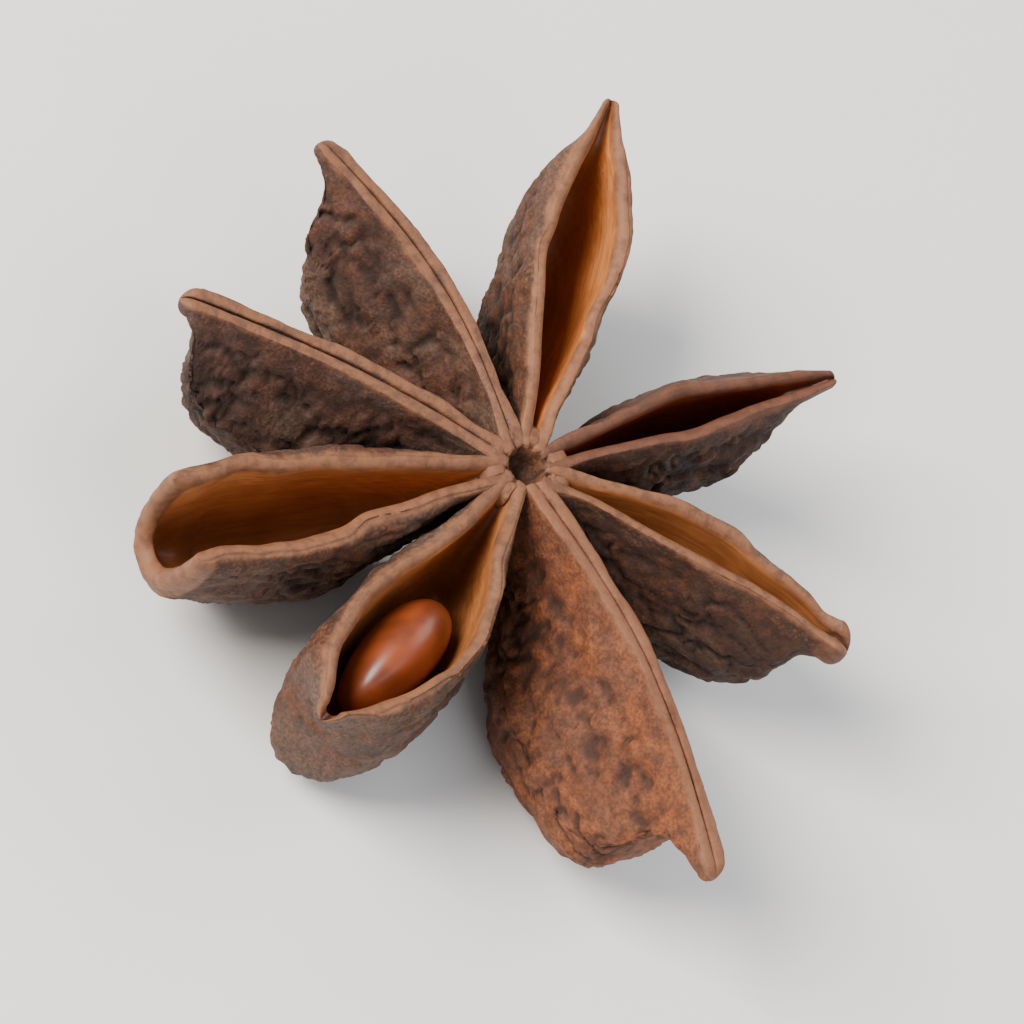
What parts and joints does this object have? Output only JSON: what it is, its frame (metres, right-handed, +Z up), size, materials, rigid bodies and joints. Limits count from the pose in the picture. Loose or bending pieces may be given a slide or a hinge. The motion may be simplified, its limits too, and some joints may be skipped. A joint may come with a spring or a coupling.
{
  "type": "star anise pod",
  "caption": "Dried star-shaped spice pod: boat-shaped follicles with pointed beaks joined round a short central column, some gaping at the seam and some shut.",
  "frame": {"origin": "bottom centre of the pod's box, on the surface that it rests on", "axes": "+Z up, out of the seam side; the stalk's scar faces -Z"},
  "size_m": [0.0298, 0.0268, 0.0094],
  "materials": {
    "husk": "dry, dull and finely wrinkled outside, smooth and faintly glossy inside the open follicles"
  },
  "bodies": {
    "root": {"pod": "husk"}
  },
  "joints": []
}
